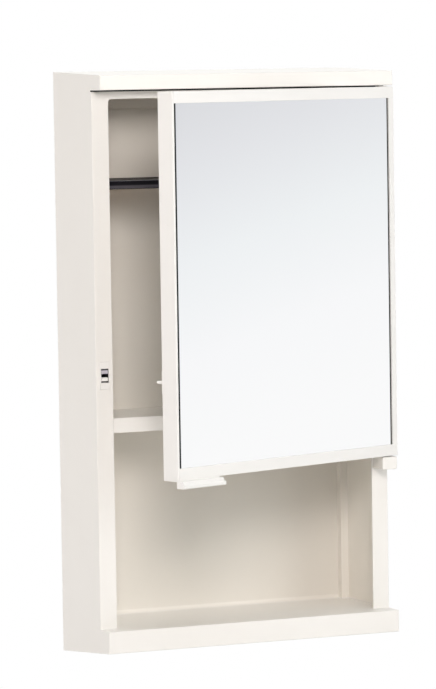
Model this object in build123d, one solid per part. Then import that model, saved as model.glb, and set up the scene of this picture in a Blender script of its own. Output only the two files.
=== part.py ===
from build123d import *
import os

# Wall cabinet in millimetres. X runs to the right, Y runs into the wall and Z is up.
# It is laid out from the underside of its base, then shifted so that the origin is
# the centre of the four wall screws, on the face that meets the wall.

overcut = 1.0                # cutting shapes run this far past the faces they open

# Moulded shell
cabinet_width = 315.0
cabinet_height = 560.0
body_depth = 97.0            # wall face to the front of the stiles
front_reach = 22.0           # header and base lip stand this far in front of the stiles
shell_wall = 3.0
stile_width = 17.5
header_height = 14.5
lip_height = 20.5
lip_drop = 1.2               # the base lip's lower edge, below the level the heights are taken from
top_rail_height = 23.0       # top of the cabinet down to the top of the door opening
opening_corner = 4.0
rear_drop = 12.0             # the shell deepens toward the wall, below
rear_rise = 3.6              # and above the header
floor_cove = 4.0             # hollow fillet along the rear of the floor
seam_height = 1.5            # dark seal let into the front rail under the header
seam_depth = 2.2
seal_setback = 0.5
outer_round = 1.0
bead_width = 8.0             # solid bead down each rear corner, which takes the panel screws
bead_depth = 8.0
base_rail_height = 12.0      # solid rail under the rear of the floor

# Back panel and hanging rail
panel_thickness = 3.0
panel_clearance = 0.2
rail_height = 31.0
rail_thickness = 9.0
wall_hole_radius = 2.75
wall_hole_edge = 40.0        # cabinet side to the centre of a wall screw
upper_wall_hole_drop = 19.0  # top of the cabinet to the upper wall screws
lower_wall_hole_rise = 14.5  # middle shelf's top to the lower wall screws

# Middle shelf
middle_shelf_top = 226.5
middle_shelf_lip = 14.4
shelf_thickness = 3.0
shelf_clearance = 0.15
ledge_width = 8.0
ledge_height = 6.0

# Smoked shelf and its pegs
smoked_shelf_top = 457.5
smoked_plate = 4.0
smoked_front = 8.5           # height of the front bead
smoked_bead_depth = 5.0
smoked_setback = 1.2         # behind the stiles' rear face
smoked_side_gap = 0.8
peg_radius = 2.5
peg_reach = 7.0
peg_inset = 16.0             # shelf's front or rear edge to a peg's axis

# Door
door_bottom = 176.2
header_gap = 1.5             # header down to the top of the door
door_left_gap = 3.4
door_right_gap = 0.5
door_gap = 2.0               # stiles to the rear of the closed door
door_thickness = 20.0
door_wall = 2.5
door_web = 2.5
hinge_end = 17.0             # solid end of the door, round the hinge bushes
door_edge_round = 1.0
heel_round = 7.0             # rear corner beside the hinge, which turns past the stile
cover_thickness = 2.0
cover_ledge = 1.2
cover_clearance = 0.2
boss_radius = 3.6
door_ajar = 21.3             # degrees from closed to the pose in which the cabinet is made

# Mirror and the rails that hold it
mirror_thickness = 3.0
backing_thickness = 1.5
mirror_left_margin = 4.4
mirror_right_margin = 9.7
mirror_edge_gap = 2.3        # upright gaps beside the mirror, filled by the backing's raised edges
mirror_end_gap = 1.1         # hidden gaps behind the rails
backing_clearance = 0.1
backing_edge_setback = 0.9   # raised edges of the backing, behind the mirror's face
top_rail_face = 11.2
bottom_rail_face = 11.2
mirror_lap = 4.0             # how far the mirror runs up behind each rail
mirror_setback = 0.5
glass_chamfer = 0.4
rail_lip = 0.35              # rails stand this far in front of the case's edges
rail_round = 0.3
rail_end_gap = 0.4

# Finger pull
pull_length = 56.4
pull_inset = 0.8             # door's free end to the pull
pull_drop = 8.0              # door's underside to the pull's lowest edge
pull_bar_height = 3.8
pull_reach = 7.5             # in front of the door's face
pull_depth = 10.2
pull_neck = 1.4
pull_ledge_drop = 0.8        # ledge above the bar, below the door's underside
pull_ledge_reach = 5.5       # its front edge, in front of the door's face
pull_end_notch = 1.5         # gap above the bar at its inner end
pull_flange_depth = 20.0
pull_screw_inset = 14.0
pull_screw_setback = 10.6

# Hinge
hinge_inset = 8.0            # cabinet side to the hinge axis
pin_radius = 2.5
pin_clearance = 0.05
pin_chamfer = 0.5
pin_seat = 9.0
bush_radius = 4.0
bush_length = 12.0
bush_flange_radius = 5.6
bush_flange = 0.9
bracket_width = 16.3
bracket_height = 12.6
bracket_gap = 1.3
bracket_round = 2.5
header_boss_width = 17.5

# Catch and latch
catch_inset = 9.3            # cabinet side to the catch's centre
catch_height = 268.4
plate_width = 10.2
plate_height = 27.0
plate_thickness = 1.3
plate_stand = 0.3            # in front of the stile
plate_chamfer = 0.24
window_width = 7.9
window_height = 13.6
housing_depth = 14.0
housing_wall = 0.8
housing_height = 25.0
housing_clearance = 0.1
jaw_width = 6.6
jaw_height = 4.3
jaw_nose_height = 3.5        # part of a jaw that shows in the window and travels inside it
jaw_depth = 6.0
jaw_gap = 3.4
jaw_round = 0.9
jaw_setback = 0.4            # behind the catch plate's face
keeper_offset = 1.4          # jaw's nose to the keeper behind the window's edge
keeper_gap = 0.2
spring_radius = 1.7
spring_wire = 0.25
spring_turns = 4
spring_seat_gap = 0.05
tongue_reach = 10.0
tongue_width = 5.4
tongue_root = 3.8
tongue_neck = 2.9
tongue_tip = 2.2
tongue_root_length = 1.2
tongue_shoulder = 0.95
latch_base_width = 9.0
latch_base_height = 22.0
latch_base_thickness = 1.4
latch_screw_offset = 7.6
latch_pad_side = 13.0

# Screws
screw_radius = 1.25
screw_head_radius = 2.4
screw_head_height = 1.2
screw_fit = 0.05
panel_screw_length = 9.0
shelf_screw_length = 7.0
cover_screw_length = 9.0
latch_screw_length = 9.0
pull_screw_length = 8.0
bracket_screw_length = 11.0
recess_width = 0.6
recess_span = 2.6
recess_depth = 0.8
floor_screw_rise = 60.0      # panel screws down the sides: above the floor
shelf_screw_drop = 40.0      # below the middle shelf
upper_screw_rise = 20.0      # above the smoked shelf
rail_screw_share = 0.2       # cabinet's centre to the rail's screws, as a share of its width
shelf_front_share = 0.8      # wall to the middle shelf's screws, as shares of the depth
shelf_rear_share = 0.25
bracket_screw_span = 9.15    # between the bracket's two screws
bracket_screw_inset = 5.575  # bracket's outer side to its outer screw

# Places worked out from the sizes above
left = -cabinet_width / 2
right = cabinet_width / 2
stile_front = -body_depth
front = stile_front - front_reach
stile_rear = stile_front + shell_wall
panel_front = -panel_thickness
opening_left = left + stile_width
opening_right = right - stile_width
opening_top = cabinet_height - top_rail_height
header_bottom = cabinet_height - header_height
seam_bottom = header_bottom - seam_height
ceiling = cabinet_height - shell_wall
inner_left = left + shell_wall
inner_right = right - shell_wall
rail_bottom = ceiling - rail_height
rail_front = panel_front - rail_thickness
floor_under = lip_height - shell_wall
base_rail_front = panel_front - bead_depth

door_left = left + door_left_gap
door_right = right - door_right_gap
door_top = header_bottom - header_gap
door_rear = stile_front - door_gap
door_front = door_rear - door_thickness
hinge_x = right - hinge_inset
hinge_y = (door_rear + door_front) / 2
web_front = door_front + mirror_setback + mirror_thickness + backing_thickness
web_rear = web_front + door_web
cavity_left = door_left + door_wall
cavity_right = door_right - hinge_end
cavity_bottom = door_bottom + door_wall
cavity_top = door_top - door_wall
mirror_left = door_left + mirror_left_margin
mirror_right = door_right - mirror_right_margin
mirror_bottom = door_bottom + bottom_rail_face - mirror_lap
mirror_top = door_top - top_rail_face + mirror_lap
mirror_front = door_front + mirror_setback
mirror_rear = mirror_front + mirror_thickness
bracket_top = door_bottom - bracket_gap
bracket_bottom = bracket_top - bracket_height
middle_shelf_under = middle_shelf_top - shelf_thickness
catch_x = left + catch_inset
window_low = catch_height - window_height / 2
window_high = catch_height + window_height / 2
catch_front = stile_front - plate_stand
housing_rear = stile_front + housing_depth
housing_half = housing_height / 2
upper_wall_hole = cabinet_height - upper_wall_hole_drop
lower_wall_hole = middle_shelf_top + lower_wall_hole_rise
wall_hole_x = cabinet_width / 2 - wall_hole_edge
origin_height = (upper_wall_hole + lower_wall_hole) / 2


def block(x_low, x_high, y_low, y_high, z_low, z_high):
    centre = Pos((x_low + x_high) / 2, (y_low + y_high) / 2, (z_low + z_high) / 2)
    return centre * Box(x_high - x_low, y_high - y_low, z_high - z_low)


def rod_up(x, y, z_low, z_high, radius):
    return Pos(x, y, (z_low + z_high) / 2) * Cylinder(radius, z_high - z_low)


def rod_across(y, z, x_low, x_high, radius):
    return Pos((x_low + x_high) / 2, y, z) * Rot(0, 90, 0) * Cylinder(radius, x_high - x_low)


def rod_back(x, z, y_low, y_high, radius):
    return Pos(x, (y_low + y_high) / 2, z) * Rot(90, 0, 0) * Cylinder(radius, y_high - y_low)


def edges_at(shape, axis, points, reach=0.01):
    # Edges along an axis whose middles lie on the lines given by the other two coordinates
    chosen = []
    for edge in shape.edges().filter_by(axis):
        middle = edge @ 0.5
        for x, y, z in points:
            gaps = [abs(a - b) for a, b in zip((middle.X, middle.Y, middle.Z), (x, y, z)) if b is not None]
            if all(gap < reach for gap in gaps):
                chosen.append(edge)
    return chosen


def cut_each(shape, tools):
    for tool in tools:
        shape -= tool
    return shape


# Countersunk screws: the head's face is at the place given, and the shank runs the other way
facing_wall = Rot(-90, 0, 0)
facing_down = Rot(180, 0, 0)
facing_up = Rot(0, 0, 0)


def screw_form(length, spare=0.0):
    head = Cone(screw_radius + spare, screw_head_radius + spare, screw_head_height)
    shank = Cylinder(screw_radius + spare, length + spare)
    return Pos(0, 0, -screw_head_height / 2) * head + Pos(0, 0, -(length + spare) / 2) * shank


def screw(place, length):
    bar = Box(recess_span, recess_width, recess_depth)
    cross = Pos(0, 0, -recess_depth / 2) * (bar + Rot(0, 0, 90) * bar)
    return place * (screw_form(length) - cross)


def screw_space(place, length):
    return place * screw_form(length, screw_fit)


# Places of the screws, each with the way its head faces
panel_screw_x = cabinet_width / 2 - shell_wall - bead_width / 2
panel_side_heights = [
    lip_height + floor_screw_rise,
    middle_shelf_top - shelf_screw_drop,
    (middle_shelf_top + smoked_shelf_top) / 2,
    smoked_shelf_top + upper_screw_rise,
]
panel_screw_places = [
    Pos(side * panel_screw_x, 0, z) * facing_wall for side in (-1, 1) for z in panel_side_heights
]
panel_screw_places += [
    Pos(x * cabinet_width, 0, z) * facing_wall
    for x in (-rail_screw_share, rail_screw_share)
    for z in (rail_bottom + rail_height / 2, floor_under - base_rail_height / 2)
]
shelf_screw_x = cabinet_width / 2 - shell_wall - ledge_width / 2
shelf_screw_places = [
    Pos(side * shelf_screw_x, y * body_depth, middle_shelf_top) * facing_up
    for side in (-1, 1)
    for y in (-shelf_front_share, -shelf_rear_share)
]
cover_boss_inset = boss_radius + cover_ledge
cover_screw_x = (cavity_left + cover_boss_inset, cavity_right - cover_boss_inset)
cover_screw_z = (cavity_bottom + cover_boss_inset, cavity_top - cover_boss_inset)
cover_screw_places = [Pos(x, door_rear, z) * facing_wall for x in cover_screw_x for z in cover_screw_z]
latch_screw_places = [
    Pos(catch_x, door_rear + latch_base_thickness, catch_height + side * latch_screw_offset) * facing_wall
    for side in (-1, 1)
]
pull_left = door_left + pull_inset
pull_right = pull_left + pull_length
pull_screw_x = (pull_left + pull_screw_inset, pull_right - pull_screw_inset)
pull_screw_places = [
    Pos(x, door_front + pull_screw_setback, door_bottom - pull_neck) * facing_down
    for x in pull_screw_x
]
bracket_screw_places = [
    Pos(x, stile_rear, (bracket_bottom + bracket_top) / 2) * facing_wall
    for x in (right - bracket_screw_inset - bracket_screw_span, right - bracket_screw_inset)
]
wall_hole_places = [(side * wall_hole_x, z) for side in (-1, 1) for z in (lower_wall_hole, upper_wall_hole)]
peg_y = (stile_rear + smoked_setback + peg_inset, panel_front - smoked_side_gap - peg_inset)
peg_z = smoked_shelf_top - smoked_plate - peg_radius


def cabinet_shell():
    side_outline = Polyline(
        (0, -rear_drop), (front, -lip_drop), (front, lip_height), (stile_front, lip_height),
        (stile_front, header_bottom), (front, header_bottom), (front, cabinet_height),
        (0, cabinet_height + rear_rise),
        close=True,
    )
    side_face = make_face(Plane.YZ * side_outline)
    shell = Pos(left, 0, 0) * extrude(side_face, cabinet_width, dir=(1, 0, 0))
    across = [(None, front, z) for z in (-lip_drop, lip_height, header_bottom, cabinet_height)]
    upright = [(x, y, None) for x in (left, right) for y in (front, stile_front)]
    rounds = edges_at(shell, Axis.X, across) + edges_at(shell, Axis.Z, upright)
    shell = fillet(rounds, outer_round)

    interior = block(inner_left, inner_right, stile_rear, overcut, lip_height, ceiling)
    opening = block(
        opening_left, opening_right, stile_front - overcut, stile_rear + overcut, lip_height, opening_top
    )
    corners = [(x, None, opening_top) for x in (opening_left, opening_right)]
    opening = fillet(edges_at(opening, Axis.Y, corners), opening_corner)
    below = -rear_drop - overcut
    base_hollow = block(
        inner_left, inner_right, front + shell_wall, base_rail_front, below, floor_under
    )
    rear_slot = block(
        inner_left, inner_right, base_rail_front, overcut, below, floor_under - base_rail_height
    )
    panel_slot = block(inner_left, inner_right, panel_front, overcut, below, lip_height)
    header_hollow = block(
        inner_left, right - header_boss_width, front + shell_wall, stile_front,
        header_bottom - overcut, ceiling,
    )
    seam = block(
        left - overcut, right + overcut, stile_front - overcut, stile_front + seam_depth,
        seam_bottom, header_bottom,
    )
    shell = shell - interior - opening - base_hollow - rear_slot - panel_slot - header_hollow - seam

    cove_y = panel_front - floor_cove
    cove_z = lip_height + floor_cove
    cove = block(inner_left, inner_right, cove_y, panel_front, lip_height, cove_z)
    shell += cove - rod_across(cove_y, cove_z, left, right, floor_cove)

    for side in (-1, 1):
        wall_x = side * (cabinet_width / 2 - shell_wall)
        bead = sorted((wall_x, wall_x - side * bead_width))
        ledge = sorted((wall_x, wall_x - side * ledge_width))
        shell += block(*bead, base_rail_front, panel_front, lip_height, rail_bottom)
        shell += block(
            *ledge, stile_rear, base_rail_front, middle_shelf_under - ledge_height, middle_shelf_under
        )
        peg_hole = sorted((wall_x - side * overcut, wall_x + side * shell_wall / 2))
        shell = cut_each(shell, [rod_across(y, peg_z, *peg_hole, peg_radius + screw_fit) for y in peg_y])

    housing_hole = block(
        catch_x - window_width / 2 - housing_wall - housing_clearance,
        catch_x + window_width / 2 + housing_wall + housing_clearance,
        stile_front - overcut,
        stile_rear + overcut,
        catch_height - housing_half - housing_clearance,
        catch_height + housing_half + housing_clearance,
    )
    plate_seat = block(
        catch_x - plate_width / 2 - housing_clearance,
        catch_x + plate_width / 2 + housing_clearance,
        stile_front - overcut,
        catch_front + plate_thickness,
        catch_height - plate_height / 2 - housing_clearance,
        catch_height + plate_height / 2 + housing_clearance,
    )
    pin_seat_hole = rod_up(hinge_x, hinge_y, header_bottom - overcut, header_bottom + pin_seat, pin_radius)
    shell = shell - housing_hole - plate_seat - pin_seat_hole
    shell = cut_each(shell, [screw_space(place, panel_screw_length) for place in panel_screw_places])
    shell = cut_each(shell, [screw_space(place, shelf_screw_length) for place in shelf_screw_places])
    shell = cut_each(shell, [screw_space(place, bracket_screw_length) for place in bracket_screw_places])
    return shell


def header_seal():
    # A dark strip in the joint between the header and the front rail
    return block(
        left, right, stile_front + seal_setback, stile_front + seam_depth, seam_bottom, header_bottom
    )


def back_panel():
    panel = block(
        inner_left + panel_clearance, inner_right - panel_clearance, panel_front, 0,
        floor_under - base_rail_height, ceiling - panel_clearance,
    )
    panel = cut_each(panel, [screw_space(place, panel_screw_length) for place in panel_screw_places])
    return cut_each(panel, [
        rod_back(x, z, panel_front - overcut, overcut, wall_hole_radius) for x, z in wall_hole_places
    ])


def hanging_rail():
    rail = block(
        inner_left + panel_clearance, inner_right - panel_clearance, rail_front, panel_front,
        rail_bottom, ceiling,
    )
    rail = fillet(edges_at(rail, Axis.X, [(None, rail_front, rail_bottom)]), outer_round)
    rail = cut_each(rail, [screw_space(place, panel_screw_length) for place in panel_screw_places])
    return cut_each(rail, [
        rod_back(x, z, rail_front - overcut, overcut, wall_hole_radius)
        for x, z in wall_hole_places if z > rail_bottom
    ])


def middle_shelf():
    plate = block(
        inner_left + shelf_clearance, inner_right - shelf_clearance, stile_rear, base_rail_front,
        middle_shelf_under, middle_shelf_top,
    )
    rear_strip = block(
        inner_left + bead_width + shelf_clearance, inner_right - bead_width - shelf_clearance,
        base_rail_front, panel_front, middle_shelf_under, middle_shelf_top,
    )
    lip = block(
        opening_left + shelf_clearance, opening_right - shelf_clearance, stile_front, stile_rear,
        middle_shelf_top - middle_shelf_lip, middle_shelf_top,
    )
    lip = fillet(edges_at(lip, Axis.X, [(None, stile_front, middle_shelf_top)]), outer_round)
    shelf = plate + rear_strip + lip
    shelf = cut_each(shelf, [screw_space(place, shelf_screw_length) for place in shelf_screw_places])
    return shelf


def smoked_shelf():
    shelf_left = inner_left + smoked_side_gap
    shelf_right = inner_right - smoked_side_gap
    shelf_front = stile_rear + smoked_setback
    under = smoked_shelf_top - smoked_plate
    plate = block(
        shelf_left, shelf_right, shelf_front, base_rail_front - smoked_side_gap, under, smoked_shelf_top
    )
    rear_strip = block(
        shelf_left + bead_width, shelf_right - bead_width, base_rail_front - smoked_side_gap,
        panel_front - smoked_side_gap, under, smoked_shelf_top,
    )
    bead = block(
        shelf_left, shelf_right, shelf_front, shelf_front + smoked_bead_depth,
        smoked_shelf_top - smoked_front, smoked_shelf_top,
    )
    shelf = plate + rear_strip + bead
    arrises = [(None, shelf_front, z) for z in (smoked_shelf_top, smoked_shelf_top - smoked_front)]
    return chamfer(edges_at(shelf, Axis.X, arrises), outer_round / 2)


def shelf_pegs():
    pegs = []
    for side in (-1, 1):
        wall_x = side * (cabinet_width / 2 - shell_wall)
        ends = sorted((wall_x + side * shell_wall / 2, wall_x - side * peg_reach))
        pegs += [rod_across(y, peg_z, *ends, peg_radius) for y in peg_y]
    return Compound(children=pegs)


def lower_hinge_bracket():
    bracket = block(
        right - bracket_width, right, front, stile_front, bracket_bottom, bracket_top
    )
    bracket = fillet(edges_at(bracket, Axis.Y, [(right, None, bracket_bottom)]), bracket_round)
    bracket = fillet(edges_at(bracket, Axis.X, [(None, front, bracket_bottom)]), outer_round)
    bracket = fillet(edges_at(bracket, Axis.Z, [(right - bracket_width, front, None)]), outer_round / 2)
    bracket -= rod_up(hinge_x, hinge_y, bracket_top - pin_seat, bracket_top + overcut, pin_radius)
    bracket = cut_each(bracket, [screw_space(place, bracket_screw_length) for place in bracket_screw_places])
    return bracket


def lower_hinge_pin():
    pin = rod_up(hinge_x, hinge_y, bracket_top - pin_seat, door_bottom + bush_length, pin_radius)
    return chamfer(pin.edges().group_by(Axis.Z)[-1], pin_chamfer)


def upper_hinge_pin():
    pin = rod_up(hinge_x, hinge_y, door_top - bush_length, header_bottom + pin_seat, pin_radius)
    return chamfer(pin.edges().group_by(Axis.Z)[0], pin_chamfer)


def catch_housing():
    half_width = window_width / 2 + housing_wall
    plate = block(
        catch_x - plate_width / 2, catch_x + plate_width / 2, catch_front, catch_front + plate_thickness,
        catch_height - plate_height / 2, catch_height + plate_height / 2,
    )
    plate = chamfer(plate.faces().sort_by(Axis.Y)[0].edges(), plate_chamfer)
    box = block(
        catch_x - half_width, catch_x + half_width, catch_front + plate_thickness, housing_rear,
        catch_height - housing_half, catch_height + housing_half,
    )
    inside = block(
        catch_x - window_width / 2, catch_x + window_width / 2,
        catch_front + plate_thickness, housing_rear - housing_wall,
        catch_height - housing_half + housing_wall, catch_height + housing_half - housing_wall,
    )
    window = block(
        catch_x - window_width / 2, catch_x + window_width / 2, catch_front - overcut,
        catch_front + plate_thickness + overcut, window_low, window_high,
    )
    return plate + box - inside - window


def jaw(side):
    # Its nose faces the other jaw, and a keeper behind the window's edge stops it falling out
    nose = catch_height + side * jaw_gap / 2
    back = nose + side * jaw_height
    body = block(
        catch_x - jaw_width / 2, catch_x + jaw_width / 2, catch_front + jaw_setback,
        catch_front + jaw_setback + jaw_depth, *sorted((nose, nose + side * jaw_nose_height)),
    )
    body = fillet(edges_at(body, Axis.X, [(None, catch_front + jaw_setback, nose)]), jaw_round)
    keeper = block(
        catch_x - window_width / 2 + keeper_gap, catch_x + window_width / 2 - keeper_gap,
        catch_front + plate_thickness + keeper_gap, catch_front + jaw_setback + jaw_depth,
        *sorted((nose + side * keeper_offset, back)),
    )
    return body + keeper


def catch_spring(side):
    back = jaw_gap / 2 + jaw_height + spring_wire + spring_seat_gap
    seat = housing_half - housing_wall - spring_wire - spring_seat_gap
    turns_height = seat - back
    path = Helix(pitch=turns_height / spring_turns, height=turns_height, radius=spring_radius)
    wire = Plane(origin=path @ 0, z_dir=path % 0) * Circle(spring_wire)
    coil = sweep(wire, path=path, is_frenet=True)
    spring_y = catch_front + plate_thickness + keeper_gap + (jaw_depth - plate_thickness) / 2
    flip = facing_up if side > 0 else facing_down
    return Pos(catch_x, spring_y, catch_height) * flip * Pos(0, 0, back) * coil


def door_case():
    case = block(door_left, door_right, door_front, door_rear, door_bottom, door_top)
    case = fillet(edges_at(case, Axis.Z, [(door_right, door_rear, None)]), heel_round)
    soft_edges = edges_at(case, Axis.Z, [(x, door_front, None) for x in (door_left, door_right)])
    soft_edges += edges_at(case, Axis.Z, [(door_left, door_rear, None)])
    case = fillet(soft_edges, door_edge_round)

    glass_recess = block(
        mirror_left - mirror_edge_gap, mirror_right + mirror_edge_gap, door_front - overcut, web_front,
        mirror_bottom - mirror_end_gap, mirror_top + mirror_end_gap,
    )
    rail_depth = web_front - backing_thickness - mirror_thickness
    rail_left = door_left + door_edge_round
    rail_right = door_right - door_edge_round
    top_seat = block(
        rail_left, rail_right, door_front - overcut, rail_depth, door_top - top_rail_face, door_top + overcut
    )
    bottom_seat = block(
        rail_left, rail_right, door_front - overcut, rail_depth,
        door_bottom - overcut, door_bottom + bottom_rail_face,
    )
    cavity = block(cavity_left, cavity_right, web_rear, door_rear + overcut, cavity_bottom, cavity_top)
    cover_seat = block(
        cavity_left - cover_ledge, cavity_right + cover_ledge,
        door_rear - cover_thickness, door_rear + overcut,
        cavity_bottom - cover_ledge, cavity_top + cover_ledge,
    )
    case = case - glass_recess - top_seat - bottom_seat - cavity - cover_seat

    boss_face = door_rear - cover_thickness
    case += [rod_back(x, z, web_rear, boss_face, boss_radius) for x in cover_screw_x for z in cover_screw_z]
    case += block(
        cavity_left, cavity_left + latch_pad_side, web_rear, boss_face,
        catch_height - latch_base_height / 2, catch_height + latch_base_height / 2,
    )
    pull_y = door_front + pull_screw_setback
    for x in pull_screw_x:
        case += block(
            x - boss_radius, x + boss_radius, web_rear, pull_y + boss_radius,
            cavity_bottom, door_bottom + pull_screw_length,
        )
    case -= rod_up(hinge_x, hinge_y, door_bottom - overcut, door_bottom + bush_length, bush_radius)
    case -= rod_up(hinge_x, hinge_y, door_top - bush_length, door_top + overcut, bush_radius)
    case = cut_each(case, [screw_space(place, cover_screw_length) for place in cover_screw_places])
    case = cut_each(case, [screw_space(place, latch_screw_length) for place in latch_screw_places])
    case = cut_each(case, [screw_space(place, pull_screw_length) for place in pull_screw_places])
    return case


def door_rail(low, high, outer_edge, inner_edge):
    # A front strip laid in the case's seat, over the end of the mirror
    seat = web_front - backing_thickness - mirror_thickness
    strip = block(
        door_left + door_edge_round + rail_end_gap / 2, door_right - door_edge_round - rail_end_gap / 2,
        door_front - rail_lip, seat, low, high,
    )
    return fillet(
        edges_at(strip, Axis.X, [(None, door_front - rail_lip, z) for z in (outer_edge, inner_edge)]),
        rail_round,
    )


def door_top_rail():
    low = door_top - top_rail_face
    return door_rail(low, door_top, door_top, low)


def door_bottom_rail():
    high = door_bottom + bottom_rail_face
    return door_rail(door_bottom, high, door_bottom, high)


def mirror_glass():
    glass = block(mirror_left, mirror_right, mirror_front, mirror_rear, mirror_bottom, mirror_top)
    return chamfer(glass.faces().sort_by(Axis.Y)[0].edges(), glass_chamfer)


def mirror_backing():
    # A foam sheet behind the glass, with its two upright edges raised beside the glass
    outer = mirror_edge_gap - backing_clearance
    sheet = block(
        mirror_left - outer, mirror_right + outer, mirror_rear, web_front,
        mirror_bottom + backing_clearance, mirror_top - backing_clearance,
    )
    edge_front = mirror_front + backing_edge_setback
    for x in ((mirror_left - outer, mirror_left), (mirror_right, mirror_right + outer)):
        sheet += block(
            *x, edge_front, web_front, mirror_bottom + backing_clearance, mirror_top - backing_clearance
        )
    return sheet


def door_back_cover():
    cover = block(
        cavity_left - cover_ledge + cover_clearance, cavity_right + cover_ledge - cover_clearance,
        door_rear - cover_thickness, door_rear,
        cavity_bottom - cover_ledge + cover_clearance, cavity_top + cover_ledge - cover_clearance,
    )
    cover = cut_each(cover, [screw_space(place, cover_screw_length) for place in cover_screw_places])
    cover = cut_each(cover, [screw_space(place, latch_screw_length) for place in latch_screw_places])
    return cover


def door_handle():
    # A bar in front of the door's lower edge, joined by a web to a flange under the door
    bar_top = pull_bar_height - pull_drop
    bar = block(
        pull_left, pull_right, door_front - pull_reach, door_front - pull_reach + pull_depth,
        door_bottom - pull_drop, door_bottom + bar_top,
    )
    bar_edges = [(None, door_front - pull_reach, door_bottom + z) for z in (-pull_drop, bar_top)]
    bar = fillet(edges_at(bar, Axis.X, bar_edges), outer_round)
    web_outline = Polyline(
        (0, 0), (pull_flange_depth, 0), (pull_flange_depth, -pull_neck),
        (pull_depth - pull_reach, -pull_neck), (pull_depth - pull_reach, bar_top),
        (outer_round - pull_reach, bar_top), (-pull_ledge_reach, -pull_ledge_drop), (0, -pull_ledge_drop),
        close=True,
    )
    web = extrude(make_face(Plane.YZ * web_outline), pull_length - pull_end_notch, dir=(1, 0, 0))
    handle = bar + Pos(pull_left, door_front, door_bottom) * web
    handle = cut_each(handle, [screw_space(place, pull_screw_length) for place in pull_screw_places])
    return handle


def latch_tongue():
    base = block(
        catch_x - latch_base_width / 2, catch_x + latch_base_width / 2,
        door_rear, door_rear + latch_base_thickness,
        catch_height - latch_base_height / 2, catch_height + latch_base_height / 2,
    )
    base = cut_each(base, [screw_space(place, latch_screw_length) for place in latch_screw_places])
    profile = Polyline(
        (door_rear, tongue_root / 2),
        (door_rear + tongue_root_length, tongue_root / 2),
        (door_rear + tongue_root_length + tongue_shoulder, tongue_neck / 2),
        (door_rear + tongue_reach - tongue_tip, tongue_neck / 2),
        (door_rear + tongue_reach, tongue_tip / 2),
        (door_rear + tongue_reach, -tongue_tip / 2),
        (door_rear + tongue_reach - tongue_tip, -tongue_neck / 2),
        (door_rear + tongue_root_length + tongue_shoulder, -tongue_neck / 2),
        (door_rear + tongue_root_length, -tongue_root / 2),
        (door_rear, -tongue_root / 2),
        close=True,
    )
    tongue = extrude(make_face(Plane.YZ * profile), tongue_width, dir=(1, 0, 0))
    return base + Pos(catch_x - tongue_width / 2, 0, catch_height) * tongue


def hinge_bush(end, inward):
    # A flanged sleeve in the end of the door, round the hinge pin
    sleeve = rod_up(hinge_x, hinge_y, *sorted((end, end + inward * bush_length)), bush_radius)
    flange = rod_up(hinge_x, hinge_y, *sorted((end, end - inward * bush_flange)), bush_flange_radius)
    bore_ends = sorted((end - inward * overcut, end + inward * (bush_length + overcut)))
    bore = rod_up(hinge_x, hinge_y, *bore_ends, pin_radius + pin_clearance)
    return sleeve + flange - bore


def screw_set(places, length):
    return Compound(children=[screw(place, length) for place in places])


fixed_nodes = {
    "cabinet_shell": cabinet_shell(),
    "header_seal": header_seal(),
    "back_panel": back_panel(),
    "back_panel_screws": screw_set(panel_screw_places, panel_screw_length),
    "hanging_rail": hanging_rail(),
    "middle_shelf": middle_shelf(),
    "middle_shelf_screws": screw_set(shelf_screw_places, shelf_screw_length),
    "smoked_shelf": smoked_shelf(),
    "shelf_pegs": shelf_pegs(),
    "lower_hinge_bracket": lower_hinge_bracket(),
    "hinge_bracket_screws": screw_set(bracket_screw_places, bracket_screw_length),
    "lower_hinge_pin": lower_hinge_pin(),
    "upper_hinge_pin": upper_hinge_pin(),
    "catch_housing": catch_housing(),
    "catch_jaw_upper": jaw(1),
    "catch_jaw_lower": jaw(-1),
    "catch_spring_upper": catch_spring(1),
    "catch_spring_lower": catch_spring(-1),
}
door_nodes = {
    "door_case": door_case(),
    "door_top_rail": door_top_rail(),
    "door_bottom_rail": door_bottom_rail(),
    "mirror_glass": mirror_glass(),
    "mirror_backing": mirror_backing(),
    "door_back_cover": door_back_cover(),
    "door_back_screws": screw_set(cover_screw_places, cover_screw_length),
    "door_handle": door_handle(),
    "handle_screws": screw_set(pull_screw_places, pull_screw_length),
    "latch_tongue": latch_tongue(),
    "latch_screws": screw_set(latch_screw_places, latch_screw_length),
    "door_upper_bush": hinge_bush(door_top, -1),
    "door_lower_bush": hinge_bush(door_bottom, 1),
}

to_origin = Pos(0, 0, -origin_height)
swing_open = Pos(hinge_x, hinge_y, 0) * Rot(0, 0, door_ajar) * Pos(-hinge_x, -hinge_y, 0)
os.makedirs("parts", exist_ok=True)
for name, shape in fixed_nodes.items():
    export_step(to_origin * shape, f"parts/{name}.step")
for name, shape in door_nodes.items():
    export_step(to_origin * swing_open * shape, f"parts/{name}.step")
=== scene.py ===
import math

import bpy
from mathutils import Matrix, Vector


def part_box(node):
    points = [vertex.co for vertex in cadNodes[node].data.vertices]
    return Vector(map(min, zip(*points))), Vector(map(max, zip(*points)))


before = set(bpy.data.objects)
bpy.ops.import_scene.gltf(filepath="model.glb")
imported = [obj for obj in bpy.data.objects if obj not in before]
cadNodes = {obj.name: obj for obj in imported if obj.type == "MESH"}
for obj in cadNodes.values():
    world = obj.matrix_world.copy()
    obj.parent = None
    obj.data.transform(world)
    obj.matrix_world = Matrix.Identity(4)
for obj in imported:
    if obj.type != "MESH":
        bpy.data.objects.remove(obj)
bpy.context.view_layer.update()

# Metres throughout. X to the viewer's right, Y into the wall, Z up; the origin is the
# centre of the wall screws, so the cabinet's base lies well below it.
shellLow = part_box("cabinet_shell")[0]
doorAjar = 21.3  # degrees, closed to the pose at rest


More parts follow.
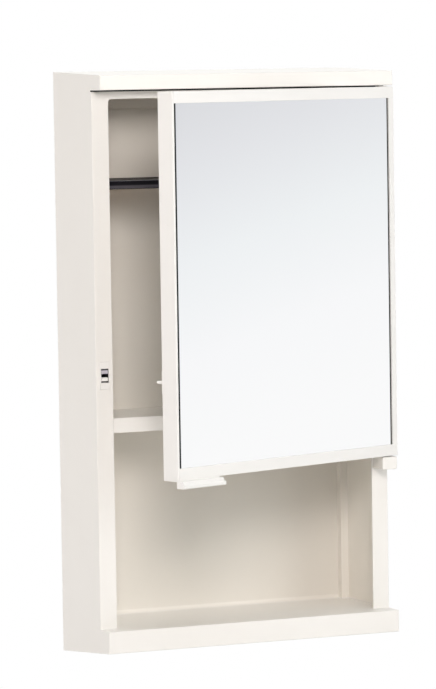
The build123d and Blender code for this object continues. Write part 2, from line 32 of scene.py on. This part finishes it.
class Wire:
    # One socket's value, so that shader maths reads as an expression
    def __init__(self, graph, socket):
        self.graph = graph
        self.socket = socket

    def maths(self, operation, first, second=None):
        values = {0: first} if second is None else {0: first, 1: second}
        return self.graph.add("ShaderNodeMath", {"operation": operation}, values)

    def __add__(self, other):
        return self.maths("ADD", self, other)

    def __radd__(self, other):
        return self.maths("ADD", other, self)

    def __sub__(self, other):
        return self.maths("SUBTRACT", self, other)

    def __rsub__(self, other):
        return self.maths("SUBTRACT", other, self)

    def __mul__(self, other):
        return self.maths("MULTIPLY", self, other)

    def __rmul__(self, other):
        return self.maths("MULTIPLY", other, self)

    def __truediv__(self, other):
        return self.maths("DIVIDE", self, other)

    def above(self, edge, softness):
        settings = {"interpolation_type": "SMOOTHSTEP"}
        values = {"Value": self, "From Min": edge - softness, "From Max": edge + softness}
        return self.graph.add("ShaderNodeMapRange", settings, values, "Result")


class Graph:
    # The node tree of one material or of the world
    def __init__(self, tree):
        self.tree = tree
        tree.nodes.clear()

    def add(self, kind, settings=None, values=None, output=0):
        node = self.tree.nodes.new(kind)
        for name, value in (settings or {}).items():
            if name == "stops":
                self.setStops(node.color_ramp, value)
            else:
                setattr(node, name, value)
        for name, value in (values or {}).items():
            if isinstance(value, Wire):
                self.tree.links.new(value.socket, node.inputs[name])
            else:
                node.inputs[name].default_value = value
        return Wire(self, node.outputs[output]) if len(node.outputs) else node

    def setStops(self, ramp, stops):
        for index, (place, shade) in enumerate(stops):
            stop = ramp.elements[index] if index < 2 else ramp.elements.new(place)
            stop.position = place
            stop.color = (*shade, 1)

    def blendColours(self, factor, first, second):
        first, second = (value if isinstance(value, Wire) else (*value, 1) for value in (first, second))
        return self.add("ShaderNodeMix", {"data_type": "RGBA"}, {0: factor, 6: first, 7: second}, 2)

    def noise(self, where, scale, detail=3.0, roughness=0.5):
        values = {"Vector": where, "Scale": scale, "Detail": detail, "Roughness": roughness}
        return self.add("ShaderNodeTexNoise", {}, values, "Fac")

    def cells(self, where, scale):
        return self.add("ShaderNodeTexVoronoi", {}, {"Vector": where, "Scale": scale}, "Distance")

    def stretched(self, where, scale):
        return self.add("ShaderNodeMapping", {}, {"Vector": where, "Scale": scale})

    def part(self, where, axis):
        return self.add("ShaderNodeSeparateXYZ", {}, {0: where}, axis)

    def dot(self, first, second):
        return self.add("ShaderNodeVectorMath", {"operation": "DOT_PRODUCT"}, {0: first, 1: second}, "Value")

    def bump(self, height, distance, strength=1.0, under=None):
        values = {"Height": height, "Distance": distance, "Strength": strength}
        if under is not None:
            values["Normal"] = under
        return self.add("ShaderNodeBump", {}, values, "Normal")

    def principled(self, values):
        return self.add("ShaderNodeBsdfPrincipled", {}, values)

    def finish(self, shader):
        self.add("ShaderNodeOutputMaterial", {}, {"Surface": shader})


def newMaterial(name):
    material = bpy.data.materials.new(name)
    material.use_nodes = True
    graph = Graph(material.node_tree)
    place = graph.add("ShaderNodeTexCoord", {}, {}, "Object")
    return material, graph, place


# In every look below, a pair such as tone or specks is an edge and its softness
# Moulded white plastics: what all of them share, then each one's own look
skin = dict(
    hazeShare=0.7, flowShare=0.3, flowStretch=(30, 30, 4), tone=(0.5, 0.22),
    speckScale=420.0, specks=(0.77, 0.02), speckShare=0.10, speckColour=(0.55, 0.51, 0.45),
    handledScale=22.0, peelScale=95.0, grainScale=2400.0, reliefStrength=0.5,
    refraction=1.53, coatRoughness=0.18,
)
whiteShell = dict(
    name="whiteShellPlastic", colour=(0.898, 0.880, 0.845), shade=(0.852, 0.828, 0.785), cast=0.35,
    roughness=0.36, roughnessSwing=0.10, peel=0.00006, grain=0.000012, coat=0.12, haze=7.0,
    # The inner colour is painted shade: a warmer, darker white for the faces inside the cabinet
    inner=(0.892, 0.855, 0.788), paintedShadeStrength=0.9, stileRear=(-0.0955, 0.0004), wallMiddle=(0.156, 0.0004),
    roofMiddle=(0.1675, 0.0004), floorTop=(-0.3697, 0.0006),
)
whiteDoor = dict(
    name="whiteDoorPlastic", colour=(0.885, 0.876, 0.855), shade=(0.842, 0.828, 0.800), cast=0.32,
    roughness=0.32, roughnessSwing=0.09, peel=0.00005, grain=0.00001, coat=0.16, haze=8.0,
)
whitePanel = dict(
    name="whitePanelPlastic", colour=(0.835, 0.80, 0.735), shade=(0.80, 0.762, 0.695), cast=0.45,
    roughness=0.52, roughnessSwing=0.10, peel=0.00004, grain=0.00003, coat=0.0, haze=6.0,
)
whiteFittings = dict(
    name="whiteFittingNylon", colour=(0.89, 0.875, 0.85), shade=(0.84, 0.82, 0.79), cast=0.3,
    roughness=0.40, roughnessSwing=0.08, peel=0.00002, grain=0.00001, coat=0.05, haze=40.0,
)


def handledRoughness(graph, look, place):
    handled = graph.noise(place, skin["handledScale"], 5.0, 0.6)
    return look["roughness"] + (handled - 0.5) * look["roughnessSwing"]


def satinShader(graph, look, place, colour, roughness, under=None):
    grain = graph.noise(place, skin["grainScale"], 1.0)
    return graph.principled({
        "Base Color": colour, "Roughness": roughness, "IOR": skin["refraction"],
        "Normal": graph.bump(grain, look["grain"], skin["reliefStrength"], under),
        "Coat Weight": look["coat"], "Coat Roughness": skin["coatRoughness"],
    })


def innerShadeShare(graph, look, place):
    # Where the painted inner shade goes: one on the faces inside the cabinet, nothing on its outside or its
    # floor
    across, depth, height = (graph.part(place, axis) for axis in "XYZ")
    outer = across.maths("ABSOLUTE", across).above(*look["wallMiddle"])
    roof = height.above(*look["roofMiddle"])
    raised = height.above(*look["floorTop"])
    return depth.above(*look["stileRear"]) * (1 - outer) * (1 - roof) * raised


def mouldedPlastic(look):
    material, graph, place = newMaterial(look["name"])
    haze = graph.noise(place, look["haze"], 4.0, 0.55)
    flow = graph.noise(graph.stretched(place, skin["flowStretch"]), 1.0)  # streaks along the moulding's flow
    tone = (haze * skin["hazeShare"] + flow * skin["flowShare"]).above(*skin["tone"])
    colour = graph.blendColours(tone * look["cast"], look["colour"], look["shade"])
    # Painted shade: inside the cabinet the white is blended towards the warmer, darker inner colour
    if "inner" in look:
        colour = graph.blendColours(innerShadeShare(graph, look, place) * look["paintedShadeStrength"], colour, look["inner"])
    specks = graph.noise(place, skin["speckScale"], 1.0).above(*skin["specks"])  # fine dust in the moulding
    colour = graph.blendColours(specks * skin["speckShare"], colour, skin["speckColour"])
    peel = graph.bump(graph.noise(place, skin["peelScale"], 2.0), look["peel"], skin["reliefStrength"])
    graph.finish(satinShader(graph, look, place, colour, handledRoughness(graph, look, place), peel))
    return material


# The catch's plate and jaws
never = (1.0, 0.0001)  # metres; further than any part of the catch
# The black here is painted shade, deep in the catch's window and behind the jaws' noses
catchWhite = dict(
    whiteFittings, name="catchWhiteNylon", paintedShadeBlack=(0.012, 0.012, 0.013), blackRoughness=0.2, tone=(0.5, 0.25),
    plateRear=(-0.09605, 0.0001), middle=-0.1226, noseEnd=never,
)
jawWhite = dict(catchWhite, name="jawWhiteAcetal", plateRear=never, noseEnd=(0.00525, 0.0001))
jawGrey = dict(
    jawWhite, name="jawGreyAcetal", colour=(0.56, 0.53, 0.59), shade=(0.50, 0.47, 0.53), haze=60.0,
)


def catchNylon(look):
    # As moulded plastic, but whatever lies behind the plate or outside the jaws' noses is painted black:
    # painted shade for the deep window and the recessed jaws
    material, graph, place = newMaterial(look["name"])
    depth, height = (graph.part(place, axis) for axis in "YZ")
    outward = height.maths("ABSOLUTE", height - look["middle"])
    paintedShadeMask = depth.above(*look["plateRear"]) + outward.above(*look["noseEnd"])
    tone = graph.noise(place, look["haze"], 4.0, 0.55).above(*look["tone"])
    pale = graph.blendColours(tone * look["cast"], look["colour"], look["shade"])
    colour = graph.blendColours(paintedShadeMask, pale, look["paintedShadeBlack"])
    roughness = handledRoughness(graph, look, place) + paintedShadeMask * look["blackRoughness"]
    graph.finish(satinShader(graph, look, place, colour, roughness))
    return material


# Mirror glass: silvered from the front, dark ground edges
mirrorLook = dict(
    silver=(0.975, 0.985, 0.985), roughness=0.006, face=(0.93, 0.03),
    smearStretch=(6, 6, 2), smear=(0.58, 0.12), smudge=0.018, smearShare=0.25,
    smearTint=(0.955, 0.965, 0.965), dotScale=380.0, dots=(0.79, 0.015), dotRoughness=0.05,
    edge=(0.016, 0.022, 0.024), edgeRoughness=0.28, groundScale=900.0, groundDepth=0.00002,
    groundStrength=0.6, refraction=1.52,
)


def silveredMirror(look):
    material, graph, place = newMaterial("silveredMirror")
    facing = graph.add("ShaderNodeTexCoord", {}, {}, "Normal")
    swing = math.radians(doorAjar)
    face = graph.dot(facing, (math.sin(swing), -math.cos(swing), 0)).above(*look["face"])
    smear = graph.noise(graph.stretched(place, look["smearStretch"]), 1.0, 5.0, 0.6).above(*look["smear"])
    dots = graph.noise(place, look["dotScale"], 1.0).above(*look["dots"])
    roughness = look["roughness"] + smear * look["smudge"] + dots * look["dotRoughness"]
    tint = graph.blendColours(smear * look["smearShare"], look["silver"], look["smearTint"])
    silver = graph.principled({"Base Color": tint, "Metallic": 1.0, "Roughness": roughness})
    ground = graph.noise(place, look["groundScale"], 2.0)
    edge = graph.principled({
        "Base Color": (*look["edge"], 1), "Roughness": look["edgeRoughness"], "IOR": look["refraction"],
        "Normal": graph.bump(ground, look["groundDepth"], look["groundStrength"]),
    })
    graph.finish(graph.add("ShaderNodeMixShader", {}, {0: face, 1: edge, 2: silver}))
    return material


# Dark smoked acrylic of the upper shelf: grained flat faces, a polished front with a painted paler band
# (painted sheen) and a painted highlight on its arris
smokedLook = dict(
    colour=(0.007, 0.006, 0.010), deep=(0.003, 0.003, 0.005), cloudScale=16.0, cloud=(0.5, 0.3),
    # The band and arris colours are painted light: a sheen low on the front face and a highlight on its arris
    paintedSheenBand=(0.066, 0.062, 0.072), bandLow=(0.0585, 0.0003), bandHigh=(0.0617, 0.0005), bandFace=(0.9, 0.05),
    paintedArrisHighlight=(0.19, 0.185, 0.20), arrisWay=(0, -0.7071, 0.7071), arrisFace=(0.88, 0.06), flatFace=(0.8, 0.1),
    wipeStretch=(12, 60, 12), wipeSwing=0.06,
    scratchStretch=(500, 25, 25), scratches=(0.74, 0.02), scratchRoughness=0.1,
    roughness=0.08, grainRoughness=0.22, grainScale=1400.0, grain=0.00004, grainStrength=0.8,
    specular=0.08, coat=0.12, coatRoughness=0.05, refraction=1.49, tint=(0.78, 0.66, 0.54), clearness=0.55,
)


def smokedAcrylic(look):
    material, graph, place = newMaterial("smokedAcrylic")
    facing = graph.add("ShaderNodeTexCoord", {}, {}, "Normal")
    upward = graph.dot(facing, (0, 0, 1))
    forward = graph.dot(facing, (0, -1, 0))
    grained = (upward * upward).above(*look["flatFace"])
    height = graph.part(place, "Z")
    lower = height.above(*look["bandLow"]) * (1 - height.above(*look["bandHigh"]))
    cloud = graph.noise(place, look["cloudScale"]).above(*look["cloud"])
    colour = graph.blendColours(cloud, look["colour"], look["deep"])
    # Painted sheen: a paler band low on the front face
    colour = graph.blendColours(lower * forward.above(*look["bandFace"]), colour, look["paintedSheenBand"])
    # Painted highlight on the slanted arris along the front
    arrisHighlightMask = graph.dot(facing, look["arrisWay"]).above(*look["arrisFace"])
    colour = graph.blendColours(arrisHighlightMask, colour, look["paintedArrisHighlight"])
    wipes = graph.noise(graph.stretched(place, look["wipeStretch"]), 1.0, 4.0)
    scratches = graph.noise(graph.stretched(place, look["scratchStretch"]), 1.0, 1.0)
    roughness = look["roughness"] + grained * look["grainRoughness"] + (wipes - 0.5) * look["wipeSwing"]
    roughness = roughness + scratches.above(*look["scratches"]) * look["scratchRoughness"]
    relief = graph.bump(graph.cells(place, look["grainScale"]) * grained, look["grain"], look["grainStrength"])
    shader = graph.principled({
        "Base Color": colour, "Roughness": roughness, "Normal": relief, "IOR": look["refraction"],
        "Specular IOR Level": look["specular"], "Coat Weight": (1 - grained) * look["coat"],
        "Coat Roughness": look["coatRoughness"],
    })
    tint = (*look["tint"], 1)  # the flat faces let some brown light through
    tinted = graph.add("ShaderNodeBsdfTransparent", {}, {"Color": tint})
    graph.finish(graph.add("ShaderNodeMixShader", {}, {0: grained * look["clearness"], 1: shader, 2: tinted}))
    return material


# Metals: zinc-plated screws, ground pins, spring wire
metalSkin = dict(
    patchScale=260.0, patches=(0.52, 0.15), patchSwing=0.2,
    markScale=1800.0, markDepth=0.00001, markStrength=0.5,
)
zincLook = dict(
    name="zincPlate", colour=(0.60, 0.60, 0.585), dark=(0.42, 0.42, 0.40), roughness=0.34, stretch=(1, 1, 1),
)
pinLook = dict(
    name="groundSteel", colour=(0.58, 0.58, 0.59), dark=(0.45, 0.45, 0.46), roughness=0.25, stretch=(1, 1, 14),
)
wireLook = dict(
    name="springWire", colour=(0.45, 0.45, 0.46), dark=(0.30, 0.30, 0.31), roughness=0.30, stretch=(1, 1, 1),
)


def plainMetal(look):
    material, graph, place = newMaterial(look["name"])
    patches = graph.noise(place, metalSkin["patchScale"], 4.0, 0.6)
    colour = graph.blendColours(patches.above(*metalSkin["patches"]), look["colour"], look["dark"])
    marks = graph.noise(graph.stretched(place, look["stretch"]), metalSkin["markScale"], 2.0)
    graph.finish(graph.principled({
        "Base Color": colour, "Metallic": 1.0,
        "Roughness": look["roughness"] + (patches - 0.5) * metalSkin["patchSwing"],
        "Normal": graph.bump(marks, metalSkin["markDepth"], metalSkin["markStrength"]),
    }))
    return material


# Black foam behind the mirror, whose strips in the gaps beside the glass are partly painted shade, and a black
# rubber strip under the header that is painted shade for the shadow line there
sheetSkin = dict(pores=(0.35, 0.25), poreDepth=0.0002, poreStrength=0.6, specular=0.06)
# The foam is black backing behind the mirror; where it shows in the gaps beside the glass it is also painted
# shade for those gaps
foamAndGapShadeLook = dict(
    name="foamSheetAndGapShade", colour=(0.012, 0.012, 0.013), pore=(0.008, 0.008, 0.008), roughness=0.95, scale=900.0,
)
# The header strip's black is painted shade: the dark shadow line beneath the header
headerShadeLook = dict(
    name="headerShadeRubber", colour=(0.016, 0.015, 0.015), pore=(0.010, 0.010, 0.010), roughness=0.8, scale=2600.0,
)


def blackSheet(look):
    material, graph, place = newMaterial(look["name"])
    pores = graph.cells(place, look["scale"])
    graph.finish(graph.principled({
        "Base Color": graph.blendColours(pores.above(*sheetSkin["pores"]), look["pore"], look["colour"]),
        "Roughness": look["roughness"], "Specular IOR Level": sheetSkin["specular"],
        "Normal": graph.bump(pores, sheetSkin["poreDepth"], sheetSkin["poreStrength"]),
    }))
    return material


finishes = {
    "shell": mouldedPlastic(whiteShell), "door": mouldedPlastic(whiteDoor),
    "panel": mouldedPlastic(whitePanel), "fitting": mouldedPlastic(whiteFittings),
    "catch": catchNylon(catchWhite), "jawWhite": catchNylon(jawWhite), "jawGrey": catchNylon(jawGrey),
    "mirror": silveredMirror(mirrorLook), "smoked": smokedAcrylic(smokedLook),
    "zinc": plainMetal(zincLook), "pin": plainMetal(pinLook),
    "wire": plainMetal(wireLook), "foamAndGapShade": blackSheet(foamAndGapShadeLook), "headerShadeStrip": blackSheet(headerShadeLook),
}
print("materials made")

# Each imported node: its finish, and the small round that moulding or tumbling leaves on its edges
nodeLooks = {
    "cabinet_shell": ("shell", 0.00045), "header_seal": ("headerShadeStrip", 0), "back_panel": ("panel", 0),
    "back_panel_screws": ("zinc", 0), "hanging_rail": ("panel", 0.0003), "middle_shelf": ("shell", 0.0003),
    "middle_shelf_screws": ("zinc", 0), "smoked_shelf": ("smoked", 0.0003), "shelf_pegs": ("fitting", 0.0003),
    "lower_hinge_bracket": ("shell", 0.0003), "hinge_bracket_screws": ("zinc", 0),
    "lower_hinge_pin": ("pin", 0), "upper_hinge_pin": ("pin", 0), "catch_housing": ("catch", 0),
    "catch_jaw_upper": ("jawGrey", 0.0002), "catch_jaw_lower": ("jawWhite", 0.0002),
    "catch_spring_upper": ("wire", 0), "catch_spring_lower": ("wire", 0), "door_case": ("door", 0.0004),
    "door_top_rail": ("door", 0), "door_bottom_rail": ("door", 0), "mirror_glass": ("mirror", 0),
    "mirror_backing": ("foamAndGapShade", 0), "door_back_cover": ("door", 0.0003), "door_back_screws": ("zinc", 0),
    "door_handle": ("door", 0.0004), "handle_screws": ("zinc", 0), "latch_tongue": ("fitting", 0.0002),
    "latch_screws": ("zinc", 0), "door_upper_bush": ("fitting", 0), "door_lower_bush": ("fitting", 0),
}
edgeLook = dict(segments=2, leastTurn=40)  # edges that turn by fewer degrees are left as they are


def dressNode(name, finish, edgeRound):
    node = cadNodes[name]
    node.data.materials.clear()
    node.data.materials.append(finishes[finish])
    if edgeRound:
        bevel = node.modifiers.new("edgeRound", "BEVEL")
        bevel.width = edgeRound
        bevel.segments = edgeLook["segments"]
        bevel.limit_method = "ANGLE"
        bevel.angle_limit = math.radians(edgeLook["leastTurn"])
        bevel.harden_normals = False
        bevel.use_clamp_overlap = True
        shade = node.modifiers.new("evenShade", "WEIGHTED_NORMAL")
        shade.keep_sharp = True


for nodeName, (finishName, edgeRound) in nodeLooks.items():
    dressNode(nodeName, finishName, edgeRound)
print("packed nodes dressed:", len(nodeLooks))

# Stage: pale floor far below the wall-hung cabinet, and a card that shows only in reflections
floorLook = dict(drop=0.45, size=4.0, colour=(0.86, 0.86, 0.86), shadowShare=0.25)
cardLook = dict(
    toward=(0.918, -0.393, 0), distance=3.0, halfWidth=2.4, lowZ=-2.2, highZ=2.6,
    slant=-0.4, bandLow=-0.45, bandHigh=0.25,
    stops=(
        (0.08, (0.975, 0.968, 0.972)), (0.33, (0.952, 0.948, 0.960)), (0.57, (0.878, 0.893, 0.908)),
        (0.81, (0.783, 0.785, 0.812)), (1.0, (0.715, 0.715, 0.740)),
    ),
)


def makeSheet(name, corners):
    mesh = bpy.data.meshes.new(name)
    mesh.from_pydata(corners, [], [(0, 1, 2, 3)])
    sheet = bpy.data.objects.new(name, mesh)
    bpy.context.scene.collection.objects.link(sheet)
    return sheet


def makeFloor(look):
    baseZ = shellLow.z - look["drop"]
    half = look["size"] / 2
    floor = makeSheet("floor", [
        (-half, -half, baseZ), (half, -half, baseZ), (half, half, baseZ), (-half, half, baseZ),
    ])
    material = bpy.data.materials.new("paleFloor")
    material.use_nodes = True
    graph = Graph(material.node_tree)
    seen = graph.add("ShaderNodeLightPath", {}, {}, "Is Camera Ray")
    matt = graph.add("ShaderNodeBsdfDiffuse", {}, {"Color": (*look["colour"], 1)})
    plain = graph.add("ShaderNodeEmission", {}, {"Color": (1, 1, 1, 1), "Strength": 1.0})
    share = seen * (1 - look["shadowShare"])
    graph.finish(graph.add("ShaderNodeMixShader", {}, {0: share, 1: matt, 2: plain}))
    floor.data.materials.append(material)


def makeCard(look):
    # Tall and to the right, white below and blue-grey above, as the glass shows it
    toCard = Vector(look["toward"]).normalized()
    side = Vector((-toCard.y, toCard.x, 0))
    near, far = (toCard * look["distance"] + side * way * look["halfWidth"] for way in (-1, 1))
    card = makeSheet("reflectionCard", [
        (*near.xy, look["lowZ"]), (*far.xy, look["lowZ"]), (*far.xy, look["highZ"]), (*near.xy, look["highZ"]),
    ])
    material, graph, place = newMaterial("cardLight")
    climb = graph.dot(place, (*(side * look["slant"]).xy, 1))  # rises across the card as well as up it
    share = (climb - look["bandLow"]) / (look["bandHigh"] - look["bandLow"])
    colour = graph.add("ShaderNodeValToRGB", {"stops": look["stops"]}, {"Fac": share}, "Color")
    graph.finish(graph.add("ShaderNodeEmission", {}, {"Color": colour, "Strength": 1.0}))
    card.data.materials.append(material)
    card.visible_camera = False
    card.visible_diffuse = False
    card.visible_shadow = False
    card.visible_transmission = False


makeFloor(floorLook)
makeCard(cardLook)
print("stage set")

lightLook = dict(ambient=0.22, ambientColour=(1.0, 0.945, 0.865), target=(0, -0.05, -0.10), distance=2.4)
# Bearing is measured from straight in front, to the right; both angles in degrees
lampLooks = dict(
    key=dict(bearing=-21, rise=21, size=0.78, power=28.5, colour=(1.0, 0.938, 0.914)),
    frontRight=dict(bearing=35, rise=15, size=1.4, power=15.2, colour=(0.947, 0.993, 1.0)),
    leftSide=dict(bearing=-112, rise=10, size=1.4, power=18.8, colour=(1.0, 0.964, 0.949)),
    above=dict(bearing=-10, rise=60, size=1.4, power=10, colour=(0.85, 0.95, 1.0)),
    rearTop=dict(bearing=170, rise=52, size=1.4, power=30, colour=(1.0, 0.985, 0.965)),
)


def makeLamp(name, look):
    lamp = bpy.data.lights.new(name, "AREA")
    lamp.shape = "DISK"
    lamp.size = look["size"]
    lamp.energy = look["power"]
    lamp.color = look["colour"]
    bearing, rise = math.radians(look["bearing"]), math.radians(look["rise"])
    away = Vector((math.sin(bearing) * math.cos(rise), -math.cos(bearing) * math.cos(rise), math.sin(rise)))
    holder = bpy.data.objects.new(name, lamp)
    holder.location = Vector(lightLook["target"]) + away * lightLook["distance"]
    holder.rotation_euler = away.to_track_quat("Z", "Y").to_euler()
    holder.visible_glossy = False
    bpy.context.scene.collection.objects.link(holder)


def makeWorld(look):
    world = bpy.data.worlds.new("studio")
    world.use_nodes = True
    graph = Graph(world.node_tree)
    shownRays = ("Is Camera Ray", "Is Glossy Ray", "Is Transmission Ray")
    camera, glossy, through = (graph.add("ShaderNodeLightPath", {}, {}, ray) for ray in shownRays)
    shown = camera.maths("MINIMUM", camera + glossy + through, 1.0)
    ambientColour = (*look["ambientColour"], 1)
    lit = graph.add("ShaderNodeBackground", {}, {"Color": ambientColour, "Strength": look["ambient"]})
    plain = graph.add("ShaderNodeBackground", {}, {"Color": (1, 1, 1, 1), "Strength": 1.0})
    mixed = graph.add("ShaderNodeMixShader", {}, {0: shown, 1: lit, 2: plain})
    graph.add("ShaderNodeOutputWorld", {}, {"Surface": mixed})
    bpy.context.scene.world = world


for lampName, lampLook in lampLooks.items():
    makeLamp(lampName + "Lamp", lampLook)
makeWorld(lightLook)
print("lights set")

# Camera solved from the photograph's edges: degrees, metres, focal length in the frame's own pixels
cameraLook = dict(
    place=(-1.6733, -3.7505, 0.17883), azimuth=24.256, pitch=3.941, roll=-0.891,
    focalPixels=4082.2, frameHeight=689, sensor=36.0, farthest=200,
)


def makeCamera(look):
    azimuth, pitch, roll = (math.radians(look[key]) for key in ("azimuth", "pitch", "roll"))
    level = math.cos(pitch)
    ahead = Vector((math.sin(azimuth) * level, math.cos(azimuth) * level, -math.sin(pitch)))
    across = Vector((math.cos(azimuth), -math.sin(azimuth), 0))
    upward = across.cross(ahead)
    rolledAcross = across * math.cos(roll) + upward * math.sin(roll)
    rolledUp = upward * math.cos(roll) - across * math.sin(roll)
    data = bpy.data.cameras.new("photoCamera")
    data.sensor_fit = "AUTO"
    data.sensor_width = look["sensor"]
    data.lens = look["focalPixels"] * look["sensor"] / look["frameHeight"]
    data.clip_end = look["farthest"]
    camera = bpy.data.objects.new("photoCamera", data)
    columns = Matrix((rolledAcross, rolledUp, -ahead)).transposed()
    camera.matrix_world = Matrix.Translation(look["place"]) @ columns.to_4x4()
    bpy.context.scene.collection.objects.link(camera)
    bpy.context.scene.camera = camera


makeCamera(cameraLook)
bpy.context.scene.view_settings.view_transform = "Standard"
print("camera placed")

bpy.context.view_layer.update()
